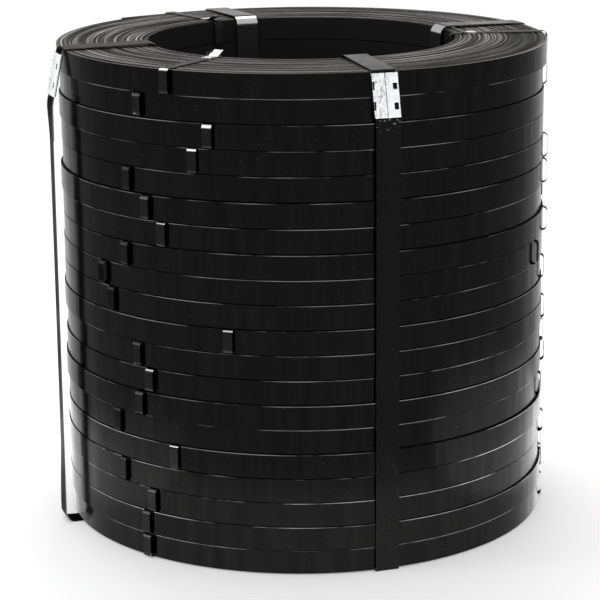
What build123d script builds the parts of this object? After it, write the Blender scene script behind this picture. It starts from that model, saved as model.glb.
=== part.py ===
# A stack of ribbon-wound coils of black steel strapping, bound by four wide straps.
# Millimetres, +Z up. The origin is on the stack's axis, at the level it stands on.
# Azimuths are in degrees from the front, -Y, towards the right, +X.
import os
from math import atan2, cos, degrees, hypot, pi, radians, remainder, sin, tan, tau

from build123d import *

os.makedirs("parts", exist_ok=True)

# Coils, counted from 1 at the top
strapping_width = 31.75
turn_thickness = 0.9
bore_diameter = 424.0
coil_diameter = 671.0
# The lower coils carry a few more turns, and the top one the most.
growth_down_the_stack = 5.0
top_coil_extra = 8.0
diameter_scatter = 2.0
# How far off the axis the coils below the top one were set down
coil_scatter = 1.0
# Room in the gap under each coil, from the top down, beyond that of the ties in it
gap_slacks = [0, 0, 0.3, 0.1, 0.7, 0.7, 0.6, 0, 0.2, 0.6, 0.1, 0.6, 0, 0.4, 0, 0.6, 0, 0.1, 0]
# End faces: every few turns one sits low, and leaves a ring-shaped groove.
groove_count = 9
groove_width = 1.8
groove_depth = 1.5
groove_margin = 7.0
groove_wander = 0.28
# The outermost turn of the top coil ends loose, and springs up between these azimuths.
loose_end = (199.5, 213.0)
loose_end_rise = 1.8

# Ties, three round each coil. They bow out to a D-shaped loop at the outside.
tie_width = 13.0
tie_thickness = 0.4
tie_seat = 0.15
tie_clearance = 0.1
tie_bow = 5.0
tie_bow_scatter = 1.0
tie_lap = 18.0
tie_lap_gap = 0.1
top_tie_bore_bend = 8.0
top_tie_bore_stand_off = 4.9
# Azimuths of the three ties of each coil, from the top coil down
tie_azimuths = [
    (-49, 77, 197), (-57, 68, 201), (-39, 80, 209), (-43, 83, 200), (-61, 66, 206),
    (-55, 64, 199), (-51, 75, 203), (-62, 63, 202), (-70, 51, 199), (-67, 62, 207),
    (-35, 83, 211), (-59, 68, 194), (-55, 67, 198), (-58, 70, 203), (-66, 59, 196),
    (-49, 80, 209), (-64, 66, 200), (-55, 68, 201), (-57, 73, 196), (-57, 68, 203),
]

# Clips that join the ties
clip_length = 14.0
clip_wall = 0.5
clip_play = 0.1
clip_slot = 4.2
clip_seat = 0.25
top_clip_inset = 26.0
top_tail = 17.0
top_tail_rise = 7.0
top_tail_bend = 12.0

# Bundle straps, through the bore and round the outside
strap_width = 32.0
strap_thickness = 0.9
strap_seat = 0.3
strap_lap_gap = 0.1
strap_tail = 60.0
foot_seat = 0.7
foot_bend = 2.0
rim_bend = 4.0
slack_rim_bend = 6.0
bore_bend = 13.0
# A strap pulled round a sharp edge stands this share of its bend radius off both faces.
bend_stand_off = 0.3
strap_azimuths = {"front": 0.0, "right": 94.0, "rear": 184.0, "left": 270.0}
# The left strap is slack, and stands off the coils from its seal down.
slack_strap = "left"
slack_elbow_drop = 73.0
slack_elbow_stand_off = 17.5
slack_foot_stand_off = 18.5
slack_elbow_bend = 60.0
slack_foot_bend = 12.0

# Crimped seals that join the ends of the bundle straps. Their lips meet at a seam outside.
seal_length = 57.0
seal_wall = 1.1
seal_play = 0.15
seal_seat = 0.3
seal_below_bend = 1.0
seal_seam = 0.6
# Two notches cut by the crimping tool at each edge: windows at the right, tabs at the left
notch_height = 11.0
notch_rise = 12.6
window_width = 6.6
window_margin = 1.6
tab_width = 6.8
tab_notch = 2.0
tab_lean = 9.0

# Derived sizes
coil_count = len(tie_azimuths)
tie_gap = 2 * (tie_seat + tie_thickness) + tie_clearance
stack_bottom = strap_thickness + foot_seat
bore_radius = bore_diameter / 2


def coil_radius(number):
    if number == 1:
        return (coil_diameter + top_coil_extra) / 2
    down = (number - 1) / (coil_count - 1)
    return (coil_diameter + growth_down_the_stack * down + diameter_scatter * sin(2.4 * number)) / 2


def coil_shift(number):
    """How far off the stack's axis a coil stands."""
    if number == 1:
        return (0.0, 0.0)
    return (coil_scatter * sin(1.7 * number), coil_scatter * cos(2.9 * number))


def gap_slack(number):
    """The extra room under a coil."""
    return gap_slacks[number - 1] if number < coil_count else 0.0


def coil_bottom(number):
    gaps = sum(tie_gap + gap_slack(i) for i in range(number, coil_count))
    return stack_bottom + (coil_count - number) * strapping_width + gaps


def reach(number, radius, azimuth):
    """How far from the stack's axis a circle of a coil lies at an azimuth."""
    x, y = coil_shift(number)
    return radius + x * sin(radians(azimuth)) - y * cos(radians(azimuth))


stack_top = coil_bottom(1) + strapping_width


def groove_places(radius, level):
    """Middles of the grooves in an end face, unevenly spaced as wound turns are."""
    first = bore_radius + groove_margin
    step = (radius - groove_margin - first) / (groove_count - 1)
    return [(first + step * (i + groove_wander * sin(2.1 * i)), level) for i in range(groove_count)]


def in_stack(shape, number):
    """A piece of a coil, moved to where the coil stands."""
    return shape.moved(Location((*coil_shift(number), 0)))


def loose_turn_end(radius, level):
    start, end = loose_end
    with BuildPart() as part:
        with BuildSketch(Plane.XZ):
            with Locations((radius - turn_thickness / 2, level)):
                Rectangle(turn_thickness, 2 * loose_end_rise)
        revolve(axis=Axis.Z, revolution_arc=end - start)
    return part.part.rotate(Axis.Z, start - 90)


def coil(number):
    """One coil as a turned ring. The two open ends of the stack show the turns."""
    low = coil_bottom(number)
    high = low + strapping_width
    radius = coil_radius(number)
    with BuildPart() as part:
        with BuildSketch(Plane.XZ):
            with Locations(((bore_radius + radius) / 2, (low + high) / 2)):
                Rectangle(radius - bore_radius, strapping_width)
            for open_end, level in ((1, high), (coil_count, low)):
                if number == open_end:
                    with Locations(*groove_places(radius, level)):
                        Rectangle(groove_width, 2 * groove_depth, mode=Mode.SUBTRACT)
        revolve(axis=Axis.Z)
        if number == 1:
            add(loose_turn_end(radius, high))
    return in_stack(part.part, number)


def along(start, end, distance, aside=0.0):
    """The point at a distance from start towards end, moved aside to the left of the way."""
    length = hypot(end[0] - start[0], end[1] - start[1])
    dx = (end[0] - start[0]) / length
    dz = (end[1] - start[1]) / length
    return (start[0] + distance * dx - aside * dz, start[1] + distance * dz + aside * dx)


def turn_at(before, corner, after):
    """The angle a path turns by at a corner, and the direction it comes in."""
    way_in = atan2(corner[1] - before[1], corner[0] - before[0])
    way_out = atan2(after[1] - corner[1], after[0] - corner[0])
    return remainder(way_out - way_in, tau), way_in


def outer_corner(before, corner, after, thickness, bend):
    """The corner of a strap's outer face over an inner corner, and its bend radius."""
    turn, way_in = turn_at(before, corner, after)
    side = way_in + turn / 2 + pi / 2
    away = thickness / cos(turn / 2)
    point = (corner[0] + away * cos(side), corner[1] + away * sin(side))
    return point, bend and bend + (thickness if turn < 0 else -thickness)


def bent_line(points, bends):
    """Lines along the points, with an arc in every corner whose bend radius isn't 0."""
    at = points[0]
    for before, corner, after, bend in zip(points, points[1:], points[2:], bends):
        cut = bend * tan(abs(turn_at(before, corner, after)[0]) / 2)
        start = along(corner, before, cut)
        Line(at, start)
        if bend:
            at = along(corner, after, cut)
            RadiusArc(start, at, bend if turn_at(before, corner, after)[0] < 0 else -bend)
        else:
            at = corner
    Line(at, points[-1])


def ribbon(points, bends, thickness, width, azimuth):
    """A strap bent along (radius, height) points, clockwise. The points are on its inner face,
    and a bend radius of 0 is a sharp fold."""
    corners = [outer_corner(*points[i:i + 3], thickness, bend) for i, bend in enumerate(bends)]
    outer = [along(*points[:2], 0, thickness), *[corner[0] for corner in corners],
             along(points[-1], points[-2], 0, -thickness)]
    with BuildPart() as part:
        with BuildSketch(Plane.XZ):
            with BuildLine():
                bent_line(points, bends)
                bent_line(outer, [corner[1] for corner in corners])
                Line(points[0], outer[0])
                Line(points[-1], outer[-1])
            make_face()
        extrude(amount=width / 2, both=True)
    return part.part.rotate(Axis.Z, azimuth - 90)


def sleeve(length, width, layers, wall, play, slot):
    """A strap seal standing along Z, its flat back to -X: a sheet folded round the strap,
    whose two lips on the other side leave a slot between them."""
    inner_width = width + 2 * play
    inner_depth = layers + 2 * play
    with BuildPart() as part:
        Box(inner_depth + 2 * wall, inner_width + 2 * wall, length)
        Box(inner_depth, inner_width, length, mode=Mode.SUBTRACT)
        with Locations(((inner_depth + wall) / 2, 0, 0)):
            Box(wall, slot, length, mode=Mode.SUBTRACT)
    return part.part


def placed(solid, radius, height, lean, azimuth):
    """A sleeve leaned about its width, moved out to a radius and height, and turned."""
    solid = solid.rotate(Axis.Y, lean)
    solid = solid.moved(Location((radius, 0, height)))
    return solid.rotate(Axis.Z, azimuth - 90)


# Ties and clips
tie_layers = 2 * tie_thickness + tie_lap_gap
tie_bore_wall = bore_radius - clip_seat - clip_wall - clip_play


def tie_bow_at(number, azimuth):
    return tie_bow + tie_bow_scatter * sin(number + azimuth)


def tie_side(number, bow, lift=0.0):
    """The corners of a tie's run down the outside of its coil."""
    low = coil_bottom(number) - tie_seat - gap_slack(number)
    high = coil_bottom(number) + strapping_width + tie_seat
    out = coil_radius(number) + bow
    return [(out, high + lift), (out, low)]


def lower_tie(number, azimuth):
    """A tie whose ends lap in the bore."""
    bow = tie_bow_at(number, azimuth)
    side = tie_side(number, bow)
    middle = coil_bottom(number) + strapping_width / 2
    lapped = tie_bore_wall - tie_thickness - tie_lap_gap
    points = [(tie_bore_wall, middle - tie_lap / 2), (tie_bore_wall, side[0][1]), *side,
              (lapped, side[1][1]), (lapped, middle + tie_lap / 2)]
    bends = [0, bow, bow, 0]
    return in_stack(ribbon(points, bends, tie_thickness, tie_width, azimuth), number)


def top_tie(azimuth):
    """A tie of the top coil: its ends lap on the top face, and one curls up."""
    bow = tie_bow_at(1, azimuth)
    side = tie_side(1, bow, clip_wall + clip_play)
    face = side[0][1]
    lapped = face + tie_thickness + tie_lap_gap
    clip_place = bore_radius + top_clip_inset
    curl = clip_place - tie_lap / 2
    bore_wall = bore_radius - top_tie_bore_stand_off
    points = [(curl - top_tail, lapped + top_tail_rise), (curl, lapped), (side[0][0], lapped),
              side[1], (bore_wall, side[1][1]), (bore_wall, face),
              (clip_place + tie_lap / 2, face)]
    bends = [top_tail_bend, bow, bow, 0, top_tie_bore_bend]
    return in_stack(ribbon(points, bends, tie_thickness, tie_width, azimuth), 1)


def clip():
    return sleeve(clip_length, tie_width, tie_layers, clip_wall, clip_play, clip_slot)


def lower_clip(number, azimuth):
    middle = coil_bottom(number) + strapping_width / 2
    return in_stack(placed(clip(), tie_bore_wall - tie_layers / 2, middle, 0, azimuth), number)


def top_clip(azimuth):
    face = tie_side(1, tie_bow, clip_wall + clip_play)[0][1]
    return in_stack(placed(clip(), bore_radius + top_clip_inset, face + tie_layers / 2, 90,
                           azimuth), 1)


# Bundle straps and seals
strap_lap = strap_thickness + strap_lap_gap
strap_layers = strap_thickness + strap_lap
strap_sagitta = bore_radius - (bore_radius**2 - (strap_width / 2) ** 2) ** 0.5


def foot_radius(name):
    """Where the strap's inner face meets the floor outside the stack."""
    if name == slack_strap:
        return coil_radius(1) + slack_foot_stand_off
    azimuth = strap_azimuths[name]
    return foot_seat + max(reach(number, coil_radius(number), azimuth)
                           for number in range(2, coil_count + 1))


def seal_run(name):
    """The rim corner of the strap's inner layer, the point it heads for, and its rim bend."""
    if name == slack_strap:
        bend = slack_rim_bend
        rim_radius = coil_radius(1) + bend_stand_off * bend + seal_seat
        below = (coil_radius(1) + slack_elbow_stand_off, stack_top - slack_elbow_drop)
    else:
        bend = rim_bend
        rim_radius = coil_radius(1) + seal_seat + seal_wall + seal_play
        below = (foot_radius(name) - strap_lap, strap_thickness)
    return (rim_radius, stack_top + bend_stand_off * bend + strap_seat), below, bend


def bundle_strap(name):
    """A strap whose lower end comes up outside its upper end and laps it below the rim."""
    azimuth = strap_azimuths[name]
    rim, below, bend = seal_run(name)
    seal_start = bend + seal_below_bend
    tail = seal_start + seal_length + strap_tail
    bore_stand_off = bend_stand_off * bore_bend + strap_seat
    bore_face = min(reach(number, bore_radius, azimuth) for number in range(1, coil_count + 1))
    foot = (foot_radius(name), strap_thickness)
    loop = [foot, (bore_face - strap_sagitta - foot_seat, strap_thickness),
            (bore_radius - strap_sagitta - bore_stand_off, stack_top + bore_stand_off), rim]
    start = along(rim, below, seal_start, strap_lap)
    if name != slack_strap:
        points = [start, *loop, along(rim, below, tail)]
        bends = [foot_bend, foot_bend, bore_bend, bend]
        return ribbon(points, bends, strap_thickness, strap_width, azimuth)
    inner_foot = (foot[0] - strap_lap, foot[1])
    elbow, elbow_bend = outer_corner(rim, below, inner_foot, strap_lap, slack_elbow_bend)
    past_elbow = tail - hypot(below[0] - rim[0], below[1] - rim[1])
    points = [start, elbow, *loop, below, along(below, inner_foot, past_elbow)]
    bends = [elbow_bend, slack_foot_bend, foot_bend, bore_bend, bend, slack_elbow_bend]
    return ribbon(points, bends, strap_thickness, strap_width, azimuth)


def seal(name):
    """A seal, crimped round the two layers of its strap, with two notches at each edge."""
    rim, below, bend = seal_run(name)
    middle = along(rim, below, bend + seal_below_bend + seal_length / 2, strap_layers / 2)
    lean = degrees(atan2(rim[0] - below[0], rim[1] - below[1]))
    edge = strap_width / 2 + seal_play + seal_wall
    front = strap_layers / 2 + seal_play + seal_wall / 2
    window = edge - window_margin - window_width / 2
    tab = edge - tab_notch - tab_width / 2
    tab_out = front + notch_height / 2 * sin(radians(tab_lean))
    with BuildPart() as part:
        add(sleeve(seal_length, strap_width, strap_layers, seal_wall, seal_play, seal_seam))
        for height in (-notch_rise, notch_rise):
            with Locations((front, window, height)):
                Box(seal_wall, window_width, notch_height, mode=Mode.SUBTRACT)
            with Locations((front, -edge, height)):
                Box(seal_wall, 2 * tab_notch + 2 * tab_width, notch_height, mode=Mode.SUBTRACT)
            with Locations((0, -edge, height)):
                Box(strap_layers + 4 * seal_wall, 2 * seal_wall, notch_height,
                    mode=Mode.SUBTRACT)
            with Locations(Location((tab_out, -tab, height), (0, tab_lean, 0))):
                Box(seal_wall, tab_width, notch_height + seal_wall)
    return placed(part.part, *middle, lean, azimuth=strap_azimuths[name])


nodes = {}
for number, azimuths in enumerate(tie_azimuths, start=1):
    nodes[f"coil_{number:02d}"] = coil(number)
    ties = [top_tie(a) if number == 1 else lower_tie(number, a) for a in azimuths]
    nodes[f"coil_ties_{number:02d}"] = Compound(children=ties)
for column, name in enumerate(("left", "right", "rear")):
    clips = [top_clip(azimuths[column]) if number == 1 else lower_clip(number, azimuths[column])
             for number, azimuths in enumerate(tie_azimuths, start=1)]
    nodes[f"tie_clips_{name}"] = Compound(children=clips)
for name in strap_azimuths:
    nodes[f"bundle_strap_{name}"] = bundle_strap(name)
    nodes[f"strap_seal_{name}"] = seal(name)

for name, shape in nodes.items():
    export_step(shape, f"parts/{name}.step")
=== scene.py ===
# Looks of the strapping coil stack: finishes, the wound turns of the open ends, light and camera.
# Metres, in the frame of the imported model. Azimuths are degrees from the front, -Y, towards +X.
import math

import bmesh
import bpy
from mathutils import Euler, Matrix, Vector, noise


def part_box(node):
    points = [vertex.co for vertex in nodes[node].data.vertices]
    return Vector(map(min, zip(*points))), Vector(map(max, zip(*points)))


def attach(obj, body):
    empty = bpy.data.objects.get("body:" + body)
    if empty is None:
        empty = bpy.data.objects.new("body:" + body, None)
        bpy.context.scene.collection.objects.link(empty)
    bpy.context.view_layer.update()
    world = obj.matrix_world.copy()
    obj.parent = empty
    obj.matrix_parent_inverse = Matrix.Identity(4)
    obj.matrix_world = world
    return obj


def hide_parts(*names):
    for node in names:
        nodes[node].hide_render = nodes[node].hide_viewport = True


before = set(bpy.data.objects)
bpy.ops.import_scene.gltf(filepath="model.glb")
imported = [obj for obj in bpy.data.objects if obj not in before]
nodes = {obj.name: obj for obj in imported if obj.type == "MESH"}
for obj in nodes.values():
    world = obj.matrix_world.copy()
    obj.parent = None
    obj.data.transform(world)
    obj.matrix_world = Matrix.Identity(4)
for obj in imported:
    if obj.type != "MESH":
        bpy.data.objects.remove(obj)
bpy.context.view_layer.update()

# Camera, placed as the photograph was taken
CAMERA_AZIMUTH = -18.4
CAMERA_DISTANCE = 3.112
CAMERA_HEIGHT = 1.088
CAMERA_ASIDE = -0.005
CAMERA_PITCH = 14.43
CAMERA_ROLL = -0.5
LENS_MM = 134.9
SENSOR_MM = 36.0

# Coils, with their ties and clips. Coil 1 is the top one.
COIL_COUNT = 20
COILS = [f"coil_{i:02d}" for i in range(1, COIL_COUNT + 1)]
TIES = [f"coil_ties_{i:02d}" for i in range(1, COIL_COUNT + 1)]
CLIPS = ["tie_clips_left", "tie_clips_right", "tie_clips_rear"]
COIL_HEIGHT = 0.03175
COIL_BEVEL = 0.0008
BORE_RADIUS = 0.212
OPEN_ENDS = (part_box("coil_01")[0][2] + COIL_HEIGHT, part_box("coil_20")[0][2])
RIMS = [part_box(name)[1][2] for name in COILS[1:]]

# Ties with a painted highlight over the upper bend: in a thin line, or across the whole bend
TIE_BEND_HIGHLIGHTS = {1: "top", 3: "broad", 4: "broad", 7: "thin", 11: "thin", 13: "thin", 16: "thin"}

# Turns of strapping on an open end, and the grooves where a few of them sit low, as in the solids
TURN = 0.0009
TURN_CHAMFER = 0.0004
TURN_UNEVEN = 0.00022
GROUP_UNEVEN = 0.0007
GROOVE_COUNT = 9
GROOVE_MARGIN = 0.007
GROOVE_WANDER = 0.28
GROOVE_DEPTH = 0.0013
GROOVE_TURNS = 1.6

# Azimuths where the outer end of a coil comes loose and where it stops, and the top coil's rise
LOOSE_FROM = 199.5
LOOSE_TO = 213.0
LOOSE_RISE = 0.0016

# Bundle straps, of which the left one is slack
STRAP_AZIMUTHS = {"front": 0.0, "right": 94.0, "rear": 184.0, "left": 270.0}
STRAP_HALF = 0.016
STRAP_THICKNESS = 0.0009

# Radii between which the ties' and the straps' bends are lighter, a painted highlight and partly stretched
# paint, and its fade
TIE_BENDS = (0.325, 0.36)
STRAP_BENDS = (0.19, 0.222)
BEND_FADE = 0.002

# How far the middle of a rim line, worn paint and partly a painted highlight, lies below the coil's upper
# end
RIM_DEPTH = 0.0004

# Where a finish, a painted shade or a painted highlight starts and where it is full, as a distance, a
# radius or a height
RIM_WIDTH = (0.00050, 0.00036)
SUNK_TURN_SHADE = (0.00010, 0.00042)
BORE_WALL = (0.2142, 0.2138)
SCUFF_FOOT = (0.585, 0.604)
SCUFF_TOP = (0.609, 0.606)
SCUFF_OUTSIDE = (0.33, 0.335)
LAID_RUN = (0.66, 0.664)
TAIL_HEIGHT = (0.6655, 0.6662)
TAIL_RADIUS = (0.245, 0.243)


class Graph:
    """A material's node tree, with short calls for the nodes used here."""

    def __init__(self, name):
        self.material = bpy.data.materials.new(name)
        self.material.use_nodes = True
        self.tree = self.material.node_tree
        self.tree.nodes.clear()
        self.output = self.tree.nodes.new("ShaderNodeOutputMaterial")
        self.shader = self.tree.nodes.new("ShaderNodeBsdfPrincipled")
        self.tree.links.new(self.shader.outputs[0], self.output.inputs["Surface"])

    def put(self, socket, value):
        if isinstance(value, bpy.types.NodeSocket):
            self.tree.links.new(value, socket)
        else:
            socket.default_value = value

    def finish(self, **inputs):
        """Set the shader's inputs, with Base_Color for Base Color, and give the material."""
        for name, value in inputs.items():
            self.put(self.shader.inputs[name.replace("_", " ")], value)
        return self.material

    def math(self, operation, *values, clamp=False):
        node = self.tree.nodes.new("ShaderNodeMath")
        node.operation = operation
        node.use_clamp = clamp
        for socket, value in zip(node.inputs, values):
            self.put(socket, value)
        return node.outputs[0]

    def times(self, first, *others):
        for other in others:
            first = self.math("MULTIPLY", first, other)
        return first

    def plus(self, one, other, clamp=False):
        return self.math("ADD", one, other, clamp=clamp)

    def minus(self, one, other):
        return self.math("SUBTRACT", one, other)

    def apart(self, one, other):
        """How far two values lie from each other."""
        return self.math("ABSOLUTE", self.minus(one, other))

    def from_axis(self, x, y):
        """The distance from the stack's axis."""
        return self.math("POWER", self.plus(self.times(x, x), self.times(y, y)), 0.5)

    def position(self):
        """Object coordinates and their parts x, y and z."""
        where = self.tree.nodes.new("ShaderNodeTexCoord").outputs["Object"]
        split = self.tree.nodes.new("ShaderNodeSeparateXYZ")
        self.put(split.inputs[0], where)
        return where, split.outputs

    def normal(self):
        split = self.tree.nodes.new("ShaderNodeSeparateXYZ")
        self.put(split.inputs[0], self.tree.nodes.new("ShaderNodeTexCoord").outputs["Normal"])
        return split.outputs

    def vector(self, x, y, z):
        node = self.tree.nodes.new("ShaderNodeCombineXYZ")
        for socket, value in zip(node.inputs, (x, y, z)):
            self.put(socket, value)
        return node.outputs[0]

    def scaled(self, parts, factors):
        return self.vector(*(self.times(part, factor) for part, factor in zip(parts, factors)))

    def noise(self, where, scale, detail=2.0, roughness=0.5, distortion=0.0):
        node = self.tree.nodes.new("ShaderNodeTexNoise")
        self.put(node.inputs["Vector"], where)
        node.inputs["Scale"].default_value = scale
        node.inputs["Detail"].default_value = detail
        node.inputs["Roughness"].default_value = roughness
        node.inputs["Distortion"].default_value = distortion
        return node.outputs[0]

    def ramp(self, value, low, high, out_low=0.0, out_high=1.0):
        node = self.tree.nodes.new("ShaderNodeMapRange")
        node.clamp = True
        self.put(node.inputs["Value"], value)
        node.inputs["From Min"].default_value = low
        node.inputs["From Max"].default_value = high
        self.put(node.inputs["To Min"], out_low)
        self.put(node.inputs["To Max"], out_high)
        return node.outputs[0]

    def mix(self, share, one, other):
        node = self.tree.nodes.new("ShaderNodeMix")
        node.data_type = "RGBA"
        self.put(node.inputs["Factor"], share)
        self.put(node.inputs["A"], one)
        self.put(node.inputs["B"], other)
        return node.outputs["Result"]

    def bump(self, height, distance, strength, after=None):
        node = self.tree.nodes.new("ShaderNodeBump")
        node.inputs["Strength"].default_value = strength
        node.inputs["Distance"].default_value = distance
        self.put(node.inputs["Height"], height)
        if after is not None:
            self.put(node.inputs["Normal"], after)
        return node.outputs[0]


def grey(level, warm=0.0):
    return (level * (1 + warm), level, level * (1 - warm), 1.0)


def radial(azimuth):
    a = math.radians(azimuth)
    return Vector((math.sin(a), -math.cos(a), 0.0))


def rim_wear_and_glint(g, z, round_way):
    """1 in the thin lines along the coils' upper rims, which are lighter: worn-through paint, and partly a
    painted highlight.
    """
    from_rim = 1.0
    for level in RIMS:
        from_rim = g.math("MINIMUM", from_rim, g.apart(z, level - RIM_DEPTH))
    worn = g.ramp(g.noise(round_way, 7.0, 4.0, 0.6), 0.46, 0.60)
    return g.times(g.ramp(from_rim, *RIM_WIDTH), worn)


def end_colour(g, radius, x, y, z):
    """Slit edges of the turns: bright and dark groups of them, with painted shade on the turns that sit
    low.
    """
    bands = g.noise(g.scaled((radius, x, y), (260.0, 2.0, 2.0)), 1.0, 3.0, 0.7)
    swirls = g.noise(g.scaled((radius, x, y), (640.0, 3.0, 3.0)), 1.0, 2.0, 0.6)
    fine_bands = g.noise(g.scaled((radius, x, y), (1300.0, 1.0, 1.0)), 1.0, 1.0, 0.5)
    sunk = g.math("MINIMUM", *(g.apart(z, level) for level in OPEN_ENDS))
    colour = g.mix(g.ramp(bands, 0.42, 0.6), grey(0.012, 0.03), grey(0.26, 0.055))
    colour = g.mix(g.ramp(swirls, 0.54, 0.60), colour, grey(0.44, 0.06))
    colour = g.mix(g.ramp(swirls, 0.47, 0.43), colour, grey(0.006, 0.03))
    # Painted shade: the turns that sit below the end are darkened.
    colour = g.mix(g.ramp(sunk, *SUNK_TURN_SHADE), colour, grey(0.004))
    return g.mix(g.ramp(fine_bands, 0.3, 0.7, 0.0, 0.5), colour, grey(0.02, 0.03))


def coil_material():
    """Black gloss strapping: smooth turned side, unpainted slit edges on the wound ends, with painted
    shade on the turns that sit low and lighter rim lines that are worn paint and partly a painted
    highlight. The paint is a very dark metal, and the wound ends and the bore's wall aren't metallic."""
    g = Graph("coil_paint")
    where, (x, y, z) = g.position()
    radius = g.from_axis(x, y)
    own = g.times(g.tree.nodes.new("ShaderNodeObjectInfo").outputs["Random"], 23.0)
    round_way = g.vector(x, y, own)
    wide_streaks = g.noise(round_way, 9.0, 3.0, 0.6)
    fine_streaks = g.noise(round_way, 60.0, 3.0, 0.6)
    specks = g.ramp(g.noise(where, 420.0, 1.0), 0.74, 0.8)
    dust = g.times(specks, g.ramp(g.noise(where, 25.0, 2.0), 0.45, 0.75))
    brushed = g.noise(g.scaled((x, y, z), (1.0, 1.0, 60.0)), 14.0, 4.0, 0.65)
    on_end = g.ramp(g.math("ABSOLUTE", g.normal()[2]), 0.5, 0.8)
    in_bore = g.ramp(radius, *BORE_WALL)

    side = g.mix(g.ramp(fine_streaks, 0.35, 0.75), grey(0.0062), grey(0.0092, 0.02))
    side = g.mix(dust, side, grey(0.09, 0.05))
    # Lighter rim lines: worn paint, and partly a painted highlight.
    side = g.mix(rim_wear_and_glint(g, z, round_way), side, grey(0.20))
    outside = g.mix(on_end, side, end_colour(g, radius, x, y, z))

    side_rough = g.ramp(g.plus(brushed, g.times(wide_streaks, 0.6)), 0.5, 1.1, 0.14, 0.26)
    side_rough = g.plus(side_rough, g.times(dust, 0.3), clamp=True)
    waves = g.bump(g.plus(wide_streaks, g.times(fine_streaks, 0.06)), 0.004, 0.6)
    g.shader.inputs["IOR"].default_value = 1.08
    g.shader.inputs["Specular Tint"].default_value = grey(0.6)
    return g.finish(
        Base_Color=g.mix(in_bore, outside, grey(0.014)),
        Metallic=g.minus(1.0, g.math("MAXIMUM", on_end, in_bore)),
        Roughness=g.ramp(on_end, 0.0, 1.0, side_rough, 0.5),
        Normal=g.bump(brushed, 0.00004, 0.5, waves))


def band_material(name, edge_level, paint_level, roughness, grazing, bends, bend_level,
                  bend_turn=0.15, tail_highlight=False, top_sheen_level=0.0):
    """Painted strapping. Its slit edges are lighter, and so are its bends between those radii, from the
    tilt bend_turn on: a painted highlight, and partly paint stretched there. Inside the bore it is
    duller. The last two arguments give the curled end of a top tie a painted highlight, and the run
    that lies on the top coil a lighter painted reflection."""
    g = Graph(name)
    where, (x, y, z) = g.position()
    nx, ny, nz = g.normal()
    radius = g.from_axis(x, y)
    sideways = g.math("DIVIDE", g.minus(g.times(x, ny), g.times(y, nx)), radius)
    edge = g.ramp(g.math("ABSOLUTE", sideways), 0.90, 0.97)
    # Painted highlight, and partly stretched paint: the bends are lighter where they turn upward.
    bend = g.times(g.ramp(nz, bend_turn, bend_turn + 0.15), g.ramp(nz, 0.97, 0.88),
                   g.ramp(radius, bends[0], bends[0] + BEND_FADE),
                   g.ramp(radius, bends[1] + BEND_FADE, bends[1]))
    inside = g.times(g.ramp(radius, *BORE_WALL), g.ramp(nz, 0.2, 0.1))

    clouds = g.noise(where, 30.0, 4.0, 0.6)
    scratches = g.noise(g.scaled((x, y, z), (5.0, 5.0, 0.6)), 60.0, 5.0, 0.7)
    rungs = g.noise(g.scaled((x, y, z), (0.5, 0.5, 5.0)), 90.0, 4.0, 0.7)
    scuffs = g.times(g.ramp(scratches, 0.6, 0.75), g.ramp(g.noise(where, 14.0, 2.0), 0.5, 0.7))
    specks = g.ramp(g.noise(where, 500.0, 1.0), 0.74, 0.8)
    # Painted reflection: the faces that turn downward are lighter, in streaks.
    under_bend_sheen = g.times(g.ramp(nz, -0.03, -0.12), g.ramp(nz, -0.7, -0.5), g.ramp(rungs, 0.35, 0.65))
    below_seal = g.times(g.ramp(z, *SCUFF_FOOT), g.ramp(z, *SCUFF_TOP),
                         g.ramp(radius, *SCUFF_OUTSIDE),
                         g.ramp(g.noise(where, 260.0, 3.0, 0.6), 0.60, 0.66))
    wear_and_sheen = g.plus(g.times(scuffs, 0.55), g.times(specks, 0.5), clamp=True)
    wear_and_sheen = g.math("MAXIMUM", wear_and_sheen, g.times(under_bend_sheen, 0.5))

    colour = g.mix(clouds, grey(paint_level * 0.8), grey(paint_level * 1.3, 0.02))
    colour = g.mix(wear_and_sheen, colour, grey(0.06, 0.04))
    colour = g.mix(below_seal, colour, grey(0.35, 0.02))
    # Painted reflection: the upward face of a run lying on the top coil is lighter.
    if top_sheen_level:
        laid_sheen = g.times(g.ramp(nz, 0.9, 0.97), g.ramp(z, *LAID_RUN))
        sheen_colour = g.mix(clouds, grey(top_sheen_level * 0.8, 0.03), grey(top_sheen_level * 1.2, 0.03))
        colour = g.mix(laid_sheen, colour, sheen_colour)
    colour = g.mix(bend, colour, grey(bend_level))
    colour = g.mix(edge, colour, grey(edge_level, 0.05))
    # Painted highlight: the curled end of a top tie is bright, in streaks.
    if tail_highlight:
        curl_highlight = g.times(g.ramp(z, *TAIL_HEIGHT), g.ramp(radius, *TAIL_RADIUS))
        colour = g.mix(curl_highlight, colour, g.mix(g.ramp(rungs, 0.4, 0.6), grey(0.05), grey(0.8)))

    g.shader.inputs["Specular Tint"].default_value = grey(grazing)
    return g.finish(
        Base_Color=g.mix(inside, colour, grey(0.018)),
        Metallic=g.minus(1.0, g.times(inside, 0.95)),
        Roughness=g.plus(g.ramp(clouds, 0.3, 0.7, *roughness), g.times(wear_and_sheen, 0.3)),
        Normal=g.bump(g.plus(clouds, g.times(scratches, 0.3)), 0.0004, 0.35))


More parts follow.
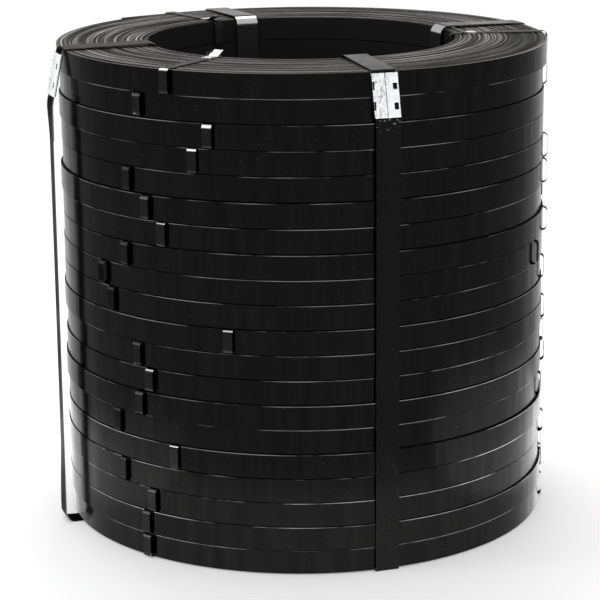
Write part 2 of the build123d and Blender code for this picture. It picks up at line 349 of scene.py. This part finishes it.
def zinc_material(name, across=None, seam=0.0):
    """Zinc plate: a bright metal with cloudy patches. On a seal, where across points to its right
    and seam is its middle that way, the left flap is mottled and scraped. Else it is a clip, with
    dark lines of painted shade for its folds."""
    g = Graph(name)
    where, (x, y, z) = g.position()
    clouds = g.noise(where, 90.0, 4.0, 0.6, 0.6)
    spots = g.noise(where, 320.0, 3.0, 0.6)
    speckled = g.plus(clouds, g.times(spots, 0.3))
    patch = g.ramp(speckled, 0.5, 0.85)
    bright, dull = (0.93, 0.94, 0.96, 1.0), (0.50, 0.51, 0.53, 1.0)
    if across is None:
        colour = g.mix(patch, bright, dull)
        # Painted shade: dark lines where a crumpled clip's folds would be shaded.
        crease_shade = g.ramp(g.noise(where, 230.0, 3.0, 0.7, 0.8), 0.48, 0.54)
        colour = g.mix(crease_shade, colour, (0.03, 0.03, 0.033, 1.0))
    else:
        aside = g.plus(g.times(x, across.x), g.times(y, across.y))
        left = g.ramp(aside, seam + 0.0035, seam + 0.0015)
        scrapes = g.noise(g.scaled((x, y, z), (1.0, 1.0, 0.45)), 210.0, 4.0, 0.65, 1.2)
        marks = g.times(left, g.ramp(scrapes, 0.47, 0.66))
        dark = g.times(left, g.ramp(g.noise(where, 160.0, 3.0, 0.6), 0.66, 0.72))
        colour = g.mix(g.times(patch, 0.35), bright, dull)
        colour = g.mix(marks, colour, (0.42, 0.43, 0.46, 1.0))
        colour = g.mix(dark, colour, (0.06, 0.06, 0.065, 1.0))
    return g.finish(
        Base_Color=colour,
        Metallic=1.0,
        Roughness=g.ramp(spots, 0.3, 0.7, 0.24, 0.42),
        Normal=g.bump(speckled, 0.0006, 0.4))


def dress(name, material, bevel=None):
    """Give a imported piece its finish, and rounded edges if it has a bevel."""
    piece = nodes[name]
    piece.data.materials.clear()
    piece.data.materials.append(material)
    if bevel:
        rounding = piece.modifiers.new("edge_rounding", "BEVEL")
        rounding.width = bevel
        rounding.segments = 2
        rounding.limit_method = "ANGLE"
        rounding.angle_limit = math.radians(50)
        rounding.harden_normals = True


def new_piece(name, mesh, material, sharp=None):
    """An object of the mesh, shaded smooth but for edges of more than sharp degrees."""
    for polygon in mesh.polygons:
        polygon.use_smooth = True
    if sharp is not None:
        mesh.set_sharp_from_angle(angle=math.radians(sharp))
    mesh.materials.clear()
    mesh.materials.append(material)
    piece = bpy.data.objects.new(name, mesh)
    bpy.context.scene.collection.objects.link(piece)
    return piece


def groove_radii(radius):
    """Radii where a few turns sit low, as in the solids."""
    first = BORE_RADIUS + GROOVE_MARGIN
    step = (radius - GROOVE_MARGIN - first) / (GROOVE_COUNT - 1)
    return [first + step * (i + GROOVE_WANDER * math.sin(2.1 * i)) for i in range(GROOVE_COUNT)]


def turn_depth(count, radius, azimuth, grooves):
    """How far a turn's edge lies below the end of the coil, with some for the turn itself, some
    for its group of turns, and the most in a groove."""
    a = math.radians(azimuth)
    c, s = math.cos(a), math.sin(a)
    own = 0.5 + noise.noise(Vector((count * 0.83, 1.3 * c + 5, 1.3 * s)))
    group = 0.5 + noise.noise(Vector((count * 0.21, 1.1 * c, 1.1 * s + 9)))
    depth = TURN_UNEVEN * own + GROUP_UNEVEN * max(0.0, group - 0.45)
    for place in grooves:
        off = abs(radius - place) / TURN
        if off < GROOVE_TURNS:
            fade = 0.62 + 0.6 * noise.noise(Vector((place * 300, 0.9 * c, 0.9 * s)))
            depth += GROOVE_DEPTH * min(1.0, GROOVE_TURNS - off) * min(1.0, max(0.1, fade))
    return max(0.0, depth)


def wound_coil(node, open_up, segments, start, loose_rise=0.0):
    """A coil as one spiral of turns, each turn's edge at its own level on the open end. It is
    worked out with that end up, and mirrored in height where the end is below."""
    (x0, y0, low), (x1, y1, _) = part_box(node)
    high = low + COIL_HEIGHT
    centre = Vector(((x0 + x1) / 2, (y0 + y1) / 2, 0.0))
    radius = (x1 - x0) / 2
    grooves = groove_radii(radius)
    ahead = round((LOOSE_TO - start) % 360 / 360 * segments)
    steps = (int((radius - BORE_RADIUS) / TURN) - 1) * segments + ahead
    turn = (radius - BORE_RADIUS) / (steps / segments + 1)
    verts, faces = [], []

    def azimuth_at(n):
        return start + 360.0 * n / segments

    def radius_at(n):
        return BORE_RADIUS + turn * n / segments

    def point(r, azimuth, z):
        a = math.radians(azimuth)
        verts.append((centre.x + r * math.sin(a), centre.y - r * math.cos(a),
                      z if open_up else low + high - z))
        return len(verts) - 1

    inner, outer, levels = [], [], []
    for n in range(steps + 1):
        azimuth, r = azimuth_at(n), radius_at(n)
        z = high - turn_depth(n / segments, r + turn / 2, azimuth, grooves)
        left = (steps - n) / segments * 360.0
        if left < LOOSE_TO - LOOSE_FROM:
            z += loose_rise * (1 - left / (LOOSE_TO - LOOSE_FROM)) ** 1.5
        inset = TURN_CHAMFER if n >= steps - segments else 0.0
        inner.append(point(r, azimuth, z))
        outer.append(point(r + turn - inset, azimuth, z))
        levels.append(z)
    for n in range(steps):
        faces.append((inner[n], outer[n], outer[n + 1], inner[n + 1]))
        after = n + segments
        if after < steps:
            faces.append((outer[n], inner[after], inner[after + 1], outer[n + 1]))

    # The outer side, the bore's wall and the flat end, along the last turn and the first
    last = steps - segments
    rim, wall, foot = [], [], []
    for n in range(last, steps + 1):
        azimuth, r = azimuth_at(n), radius_at(n) + turn
        rim.append(point(r, azimuth, levels[n] - TURN_CHAMFER))
        wall.append(point(r, azimuth, low + TURN_CHAMFER))
        foot.append(point(r - TURN_CHAMFER, azimuth, low))
    bore = [point(radius_at(n), azimuth_at(n), low) for n in range(segments + 1)]
    for k in range(segments):
        n = last + k
        i = n % segments
        faces.append((outer[n], rim[k], rim[k + 1], outer[n + 1]))
        faces.append((rim[k], wall[k], wall[k + 1], rim[k + 1]))
        faces.append((wall[k], foot[k], foot[k + 1], wall[k + 1]))
        faces.append((inner[k], inner[k + 1], bore[k + 1], bore[k]))
        faces.append((foot[k], bore[i], bore[i + 1], foot[k + 1]))

    # The cut ends of the strapping
    faces.append((inner[steps], outer[steps], rim[-1], wall[-1], foot[-1],
                  foot[0], wall[0], rim[0], outer[last]))
    faces.append((inner[0], bore[0], bore[segments], inner[segments], outer[0]))
    if open_up:
        faces = [tuple(reversed(face)) for face in faces]
    mesh = bpy.data.meshes.new(f"{node}_turns")
    mesh.from_pydata(verts, [], faces)
    mesh.update()
    piece = new_piece(f"{node}_turns", mesh, coil_paint, 30)
    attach(piece, "root")
    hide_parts(node)


coil_paint = coil_material()
for name in COILS[1:-1]:
    dress(name, coil_paint, COIL_BEVEL)
wound_coil("coil_01", True, 240, 150.0, LOOSE_RISE)
wound_coil("coil_20", False, 120, 40.0)

TIE_LOOK = dict(edge_level=0.45, paint_level=0.012, roughness=(0.16, 0.24), grazing=0.35, bends=TIE_BENDS)
tie_paints = {
    "": band_material("tie_paint", bend_level=0.05, **TIE_LOOK),
    "top": band_material("tie_paint_top", bend_level=0.75, bend_turn=0.55, tail_highlight=True, **TIE_LOOK),
    "thin": band_material("tie_paint_thin", bend_level=0.75, bend_turn=0.55, **TIE_LOOK),
    "broad": band_material("tie_paint_bare", bend_level=0.95, **TIE_LOOK)}
for number, name in enumerate(TIES, 1):
    dress(name, tie_paints[TIE_BEND_HIGHLIGHTS.get(number, "")])
zinc = zinc_material("zinc")
for name in CLIPS:
    dress(name, zinc)

# The straps' bends are lighter: a painted highlight, and partly stretched paint.
STRAP_LOOK = dict(paint_level=0.008, bends=STRAP_BENDS, bend_level=0.45)
TIGHT_STRAP = dict(edge_level=0.3, roughness=(0.16, 0.28), grazing=0.6)
# The slack strap's run on the top coil gets a lighter painted reflection.
SLACK_STRAP = dict(edge_level=0.16, roughness=(0.3, 0.42), grazing=0.3, top_sheen_level=0.11)
strap_paints = {}
for name in STRAP_AZIMUTHS:
    own_look = SLACK_STRAP if name == "left" else TIGHT_STRAP
    strap_paints[name] = band_material(f"strap_paint_{name}", **STRAP_LOOK, **own_look)
for name in ("right", "rear"):
    dress(f"bundle_strap_{name}", strap_paints[name])


def strap_piece(name, mesh):
    piece = new_piece(f"strap_{name}", mesh, strap_paints[name], 50)
    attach(piece, "root")
    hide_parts(f"bundle_strap_{name}")


# The front strap leaves the rim this far to the left, and is straight again at the foot height
RIM_SHIFT = 0.0060
SHIFT_TOP = 0.664
SHIFT_FOOT = 0.600
SHIFT_CUTS = (SHIFT_FOOT, 0.62, 0.645, SHIFT_TOP)
OUTER_RUN = 0.325
TOP_RUN = 0.66
RIM_RADIUS = 0.3355


def shift_share(radius, height):
    """The share of its shift that the front strap has there, on its outer or its top run."""
    share = 0.0
    if radius > OUTER_RUN:
        share = (height - SHIFT_FOOT) / (SHIFT_TOP - SHIFT_FOOT)
    elif height > TOP_RUN:
        share = (radius - BORE_RADIUS) / (RIM_RADIUS - BORE_RADIUS)
    return min(1.0, max(0.0, share))


def front_strap():
    """The front strap, which crosses the end askew: it leaves the rim a little to the left."""
    node = nodes["bundle_strap_front"]
    mesh = node.data.copy()
    mesh.transform(node.matrix_world)
    cut = bmesh.new()
    cut.from_mesh(mesh)
    for height in SHIFT_CUTS:
        everything = cut.verts[:] + cut.edges[:] + cut.faces[:]
        bmesh.ops.bisect_plane(cut, geom=everything, plane_co=(0, 0, height), plane_no=(0, 0, 1))
    out, across = radial(0.0), radial(90.0)
    for vertex in cut.verts:
        vertex.co -= across * RIM_SHIFT * shift_share(vertex.co.dot(out), vertex.co.z)
    cut.to_mesh(mesh)
    cut.free()
    strap_piece("front", mesh)


def rounded_path(points, bends, step=0.3):
    """Points along straight runs and arcs, in (radius, height). An arc takes a point every step,
    in radians."""
    path = [Vector(points[0])]
    for before, corner, after, bend in zip(points, points[1:], points[2:], bends):
        corner = Vector(corner)
        back = (Vector(before) - corner).normalized()
        ahead = (Vector(after) - corner).normalized()
        turn = math.pi - back.angle(ahead)
        cut = bend * math.tan(turn / 2)
        centre = corner + (back + ahead).normalized() * bend / math.cos(turn / 2)
        start = corner + back * cut - centre
        end = corner + ahead * cut - centre
        count = max(3, math.ceil(turn / step))
        sweep = start.angle_signed(end)
        for i in range(count + 1):
            angle = -sweep * i / count
            c, s = math.cos(angle), math.sin(angle)
            path.append(centre + Vector((c * start.x - s * start.y, s * start.x + c * start.y)))
    path.append(Vector(points[-1]))
    return path


def lengthened(path, reach):
    """The path with its long runs cut into pieces no longer than reach."""
    out = [path[0]]
    for a, b in zip(path, path[1:]):
        count = max(1, math.ceil((b - a).length / reach))
        out += [a.lerp(b, i / count) for i in range(1, count + 1)]
    return out


# The slack strap's corners as (radius, height), with the bend at each one between the ends. It
# runs down outside, under the stack, up the bore and over the top to lap itself below the seal.
# Its hanging run is twisted and drawn inward.
SLACK_CORNERS = [(0.34277, 0.65971), (0.35800, 0.59119), (0.35800, 0.0009), (0.2097, 0.0009),
                 (0.2072, 0.6686), (0.3416, 0.6665), (0.3570, 0.5914), (0.35705, 0.5430)]
SLACK_BENDS = [0.061, 0.012, 0.002, 0.013, 0.006, 0.060]
SLACK_REACH = 0.012
SLACK_TWIST = 4.5
SLACK_INWARD = 0.0165
HANGING_RUN = 0.345
TWIST_TOP = 0.600
TWIST_RISE = 0.06
TWIST_FOOT = 0.02
TWIST_FALL = 0.10


def eased(share):
    """The share held between 0 and 1, and eased at both ends."""
    share = min(1.0, max(0.0, share))
    return share * share * (3 - 2 * share)


def slack_twist(radius, height):
    """How far the hanging run of the slack strap is turned about its length, in degrees."""
    if radius < HANGING_RUN:
        return 0.0
    from_top = eased((TWIST_TOP - height) / TWIST_RISE)
    from_foot = eased((height - TWIST_FOOT) / TWIST_FALL)
    return SLACK_TWIST * from_top * from_foot


def slack_strap():
    """The slack left strap, whose hanging run is twisted a little."""
    path = lengthened(rounded_path(SLACK_CORNERS, SLACK_BENDS), SLACK_REACH)
    out, tangent = radial(270.0), radial(360.0)
    verts, faces = [], []
    for i, place in enumerate(path):
        way = path[min(i + 1, len(path) - 1)] - path[max(i - 1, 0)]
        way.normalize()
        along = out * way.x + Vector((0, 0, way.y))
        side = out * -way.y + Vector((0, 0, way.x))
        angle = math.radians(slack_twist(place.x, place.y))
        twist = Matrix.Rotation(angle, 3, along)
        across, thick = twist @ tangent * STRAP_HALF, twist @ side * STRAP_THICKNESS
        origin = out * (place.x - SLACK_INWARD * math.sin(angle)) + Vector((0, 0, place.y))
        middle = origin + side * (STRAP_THICKNESS / 2)
        corners = ((-1, -0.5), (1, -0.5), (1, 0.5), (-1, 0.5))
        verts += [middle + across * a + thick * b for a, b in corners]
        if i:
            k = 4 * i
            faces += [(k - 4 + j, k + j, k + (j + 1) % 4, k - 4 + (j + 1) % 4) for j in range(4)]
    faces += [(0, 1, 2, 3), tuple(len(verts) - j for j in (1, 2, 3, 4))]
    mesh = bpy.data.meshes.new("slack_strap")
    mesh.from_pydata(verts, [], faces)
    mesh.update()
    strap_piece("left", mesh)


front_strap()
slack_strap()

# Seals of folded sheet. Across a seal u runs to its right, v along it upwards, and w outwards.
SEAL_LENGTH = 0.057
SEAL_HALF = 0.01725
SEAL_DEPTH = 0.0044
SEAL_BEND = 0.0014
SEAL_SHEET = 0.0009
SEAL_ROWS = 57
FLAP_GAP = 0.0001
FLAP_STEP = 0.00116
FLAP_POINTS = 14
QUARTER_STEPS = 4

# The face of a seal: uneven, one flap lower than the other, and pinched at the notches
FACE_UNEVEN = 0.00022
FLAP_LOW = 0.00035
PINCH_DEPTH = 0.0004
PINCH_REACH = 0.009

# The notches, by their height above or below the middle: tabs on the left, windows on the right
NOTCH_RISE = 0.0126
NOTCH_HALF = 0.0055
TAB = (-0.0155, -0.0078)
TAB_LIFT = 0.0019
TAB_SLOPE = 0.005
EDGE_CUT = -0.0152
PRESSED = (0.0095, 0.0150)
PRESSED_DEPTH = 0.0013
WINDOW = (0.0089, 0.0152)
WINDOW_TOP = 0.0031


def seal_outline():
    """The folded section as points (u, w), from the left flap round the back to the right one."""
    quarter = [math.radians(90 * i / QUARTER_STEPS) for i in range(QUARTER_STEPS + 1)]
    side = -SEAL_HALF + SEAL_BEND
    face = SEAL_DEPTH - SEAL_BEND
    half = [(-FLAP_GAP - FLAP_STEP * i, SEAL_DEPTH) for i in range(FLAP_POINTS)]
    half += [(side - SEAL_BEND * math.sin(a), face + SEAL_BEND * math.cos(a)) for a in quarter]
    half.append((-SEAL_HALF, SEAL_DEPTH / 2))
    half += [(side - SEAL_BEND * math.cos(a), SEAL_BEND - SEAL_BEND * math.sin(a)) for a in quarter]
    return half + [(0.0, 0.0)] + [(-u, w) for u, w in reversed(half)]


def above_notch(v):
    """The height above the middle of the upper or the lower notch, whichever is on that side."""
    return v - (NOTCH_RISE if v > 0 else -NOTCH_RISE)


def seal_lift(u, v, w, own):
    """How far the sheet stands out from the folded section there."""
    if w <= SEAL_DEPTH / 2:
        return 0.0
    beside = abs(u) / SEAL_HALF
    lift = FACE_UNEVEN * noise.noise(Vector((u * 190, v * 110, own)))
    lift -= FLAP_LOW * (1 - beside) * (1 if u < 0 else -1)
    lift -= PINCH_DEPTH * max(0.0, 1 - abs(abs(v) - NOTCH_RISE) / PINCH_REACH) * beside
    near = above_notch(v)
    if abs(near) <= NOTCH_HALF:
        if TAB[0] < u < TAB[1]:
            bent = (near + NOTCH_HALF) / (2 * NOTCH_HALF)
            lift += TAB_LIFT * bent * (0.4 + 0.6 * min(1.0, (TAB[1] - u) / TAB_SLOPE))
        if PRESSED[0] < u < PRESSED[1]:
            lift -= PRESSED_DEPTH * (NOTCH_HALF - near) / (2 * NOTCH_HALF)
    return lift


def cut_away(u, v, w):
    """Whether the crimping tool has cut the sheet there: the left edge, or a right window."""
    near = above_notch(v)
    in_window = WINDOW[0] < u < WINDOW[1] and w > SEAL_DEPTH / 2 and near < WINDOW_TOP
    return abs(near) < NOTCH_HALF and (in_window or u < EDGE_CUT)


def seal_piece(name, middle, lean=0.0, aside=0.0, skew=0.0):
    """A seal of folded zinc-plated sheet. Its two flaps meet outside, and the crimping tool has
    cut two windows in the right flap and bent two tabs out of the left edge."""
    azimuth = STRAP_AZIMUTHS[name]
    outline = seal_outline()
    out, across = radial(azimuth), radial(azimuth + 90)
    turn = Matrix.Rotation(math.radians(lean), 3, across)
    centre = out * middle[0] + across * aside + Vector((0, 0, middle[1]))
    verts, faces = [], []
    for row in range(SEAL_ROWS + 1):
        v = SEAL_LENGTH * (row / SEAL_ROWS - 0.5)
        for u, w in outline:
            rise = w - SEAL_DEPTH / 2 + seal_lift(u, v, w, azimuth)
            verts.append(centre + turn @ (across * (u - v * skew) + out * rise + Vector((0, 0, v))))
    width = len(outline)
    for row in range(SEAL_ROWS):
        v = SEAL_LENGTH * ((row + 0.5) / SEAL_ROWS - 0.5)
        for k in range(width - 1):
            (u0, w0), (u1, w1) = outline[k], outline[k + 1]
            if not cut_away((u0 + u1) / 2, v, (w0 + w1) / 2):
                a = row * width + k
                faces.append((a, a + 1, a + 1 + width, a + width))
    mesh = bpy.data.meshes.new(f"seal_{name}")
    mesh.from_pydata(verts, [], faces)
    mesh.update()
    piece = new_piece(f"seal_{name}", mesh, zinc_material(f"zinc_{name}", across, aside))
    sheet = piece.modifiers.new("sheet", "SOLIDIFY")
    sheet.thickness = SEAL_SHEET
    sheet.offset = 0.0
    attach(piece, "root")
    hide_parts(f"strap_seal_{name}")


# Middles of the seals as (radius, height). The front one moves and skews with its strap.
SEAL_MIDDLE = (0.34175, 0.6345)
SLACK_SEAL_MIDDLE = (0.3496, 0.6321)
SLACK_SEAL_LEAN = -11.6
SIDE_SKEW = 0.01
front_skew = RIM_SHIFT / (SHIFT_TOP - SHIFT_FOOT)
seal_piece("front", SEAL_MIDDLE, aside=-RIM_SHIFT * shift_share(*SEAL_MIDDLE), skew=front_skew)
seal_piece("right", SEAL_MIDDLE, skew=SIDE_SKEW)
seal_piece("rear", SEAL_MIDDLE, skew=-SIDE_SKEW)
seal_piece("left", SLACK_SEAL_MIDDLE, lean=SLACK_SEAL_LEAN)

# Floor, light and camera
FLOOR_SIZE = 14.0
FLOOR_LEVEL = 0.84
FLOOR_GLOW = 0.24
WORLD_LIGHT = 0.9
WORLD_SHOWN = 1.0
WHITE = (1.0, 1.0, 1.0, 1.0)


def seen_directly(tree):
    """1 for rays from the camera, or that reach the camera by gloss or through glass."""
    path = tree.nodes.new("ShaderNodeLightPath")
    total = tree.nodes.new("ShaderNodeMath")
    total.operation = "MAXIMUM"
    tree.links.new(path.outputs["Is Camera Ray"], total.inputs[0])
    tree.links.new(path.outputs["Is Glossy Ray"], total.inputs[1])
    both = tree.nodes.new("ShaderNodeMath")
    both.operation = "MAXIMUM"
    tree.links.new(total.outputs[0], both.inputs[0])
    tree.links.new(path.outputs["Is Transmission Ray"], both.inputs[1])
    return both.outputs[0]


def floor_material(level, glow):
    """A pale floor, which shows as white to the camera with the object's shadow on it, and
    as an even white in the reflections."""
    g = Graph("floor_grey")
    g.shader.inputs["Roughness"].default_value = 0.9
    g.shader.inputs["Emission Color"].default_value = WHITE
    shade = g.mix(g.noise(g.position()[0], 1.5, 2.0), grey(level * 0.985), grey(level))
    return g.finish(Base_Color=shade, Emission_Strength=g.times(seen_directly(g.tree), glow))


def studio_world():
    """Even white light, which the camera and the reflections see a little brighter."""
    world = bpy.data.worlds.new("studio")
    bpy.context.scene.world = world
    world.use_nodes = True
    tree = world.node_tree
    lit = tree.nodes["Background"]
    shown = tree.nodes.new("ShaderNodeBackground")
    for background, strength in ((lit, WORLD_LIGHT), (shown, WORLD_SHOWN)):
        background.inputs["Color"].default_value = WHITE
        background.inputs["Strength"].default_value = strength
    choice = tree.nodes.new("ShaderNodeMixShader")
    tree.links.new(seen_directly(tree), choice.inputs[0])
    tree.links.new(lit.outputs[0], choice.inputs[1])
    tree.links.new(shown.outputs[0], choice.inputs[2])
    tree.links.new(choice.outputs[0], tree.nodes["World Output"].inputs["Surface"])


def area_lamp(name, shape, size, power, place):
    data = bpy.data.lights.new(name, "AREA")
    data.shape = shape
    data.size, data.size_y = size
    data.energy = power
    lamp_object = bpy.data.objects.new(name, data)
    bpy.context.scene.collection.objects.link(lamp_object)
    lamp_object.location = place
    return lamp_object


def lamp(name, azimuth, distance, height, size, power, aim=0.35):
    """A panel that faces the stack's axis at the height aim."""
    place = radial(azimuth) * distance + Vector((0, 0, height))
    panel = area_lamp(name, "RECTANGLE", size, power, place)
    panel.rotation_euler = (Vector((0, 0, aim)) - place).to_track_quat("-Z", "Y").to_euler()


def low_lamp(name, aside, towards, size, power, height):
    """A panel lying on the floor, which lights the lowest coils. Its place is measured from the
    stack's axis, to the right of the camera's view and towards the camera."""
    place = radial(CAMERA_AZIMUTH + 90) * aside + radial(CAMERA_AZIMUTH) * towards + Vector((0, 0, height))
    panel = area_lamp(name, "ELLIPSE", size, power, place)
    panel.rotation_euler = (math.radians(180), 0.0, math.radians(CAMERA_AZIMUTH))
    panel.visible_camera = False


bpy.ops.mesh.primitive_plane_add(size=FLOOR_SIZE)
floor = bpy.context.object
floor.name = "floor"
floor.data.materials.append(floor_material(FLOOR_LEVEL, FLOOR_GLOW))
studio_world()

lamp("overhead", azimuth=170.0, distance=0.9, height=2.3, size=(1.6, 1.2), power=26.0, aim=0.6)
lamp("left_strip", azimuth=CAMERA_AZIMUTH - 75, distance=2.6, height=1.5, size=(0.5, 2.2), power=10.0)
low_lamp("low_round", aside=0.0, towards=0.0, size=(1.35, 1.35), power=6.0, height=0.003)
low_lamp("low_left", aside=-0.62, towards=0.18, size=(0.42, 0.7), power=1.0, height=0.004)
low_lamp("low_right", aside=0.75, towards=0.05, size=(0.65, 1.0), power=3.1, height=0.004)

camera_data = bpy.data.cameras.new("camera")
camera_data.lens = LENS_MM
camera_data.sensor_width = SENSOR_MM
camera = bpy.data.objects.new("camera", camera_data)
bpy.context.scene.collection.objects.link(camera)
facing = Euler((math.radians(90 - CAMERA_PITCH), 0.0, math.radians(CAMERA_AZIMUTH))).to_matrix()
roll = Matrix.Rotation(math.radians(CAMERA_ROLL), 3, "Z")
camera.rotation_euler = (facing @ roll).to_euler()
camera.location = (radial(CAMERA_AZIMUTH) * CAMERA_DISTANCE + radial(CAMERA_AZIMUTH + 90) * CAMERA_ASIDE
                   + Vector((0, 0, CAMERA_HEIGHT)))
bpy.context.scene.camera = camera
bpy.context.scene.view_settings.view_transform = "Standard"
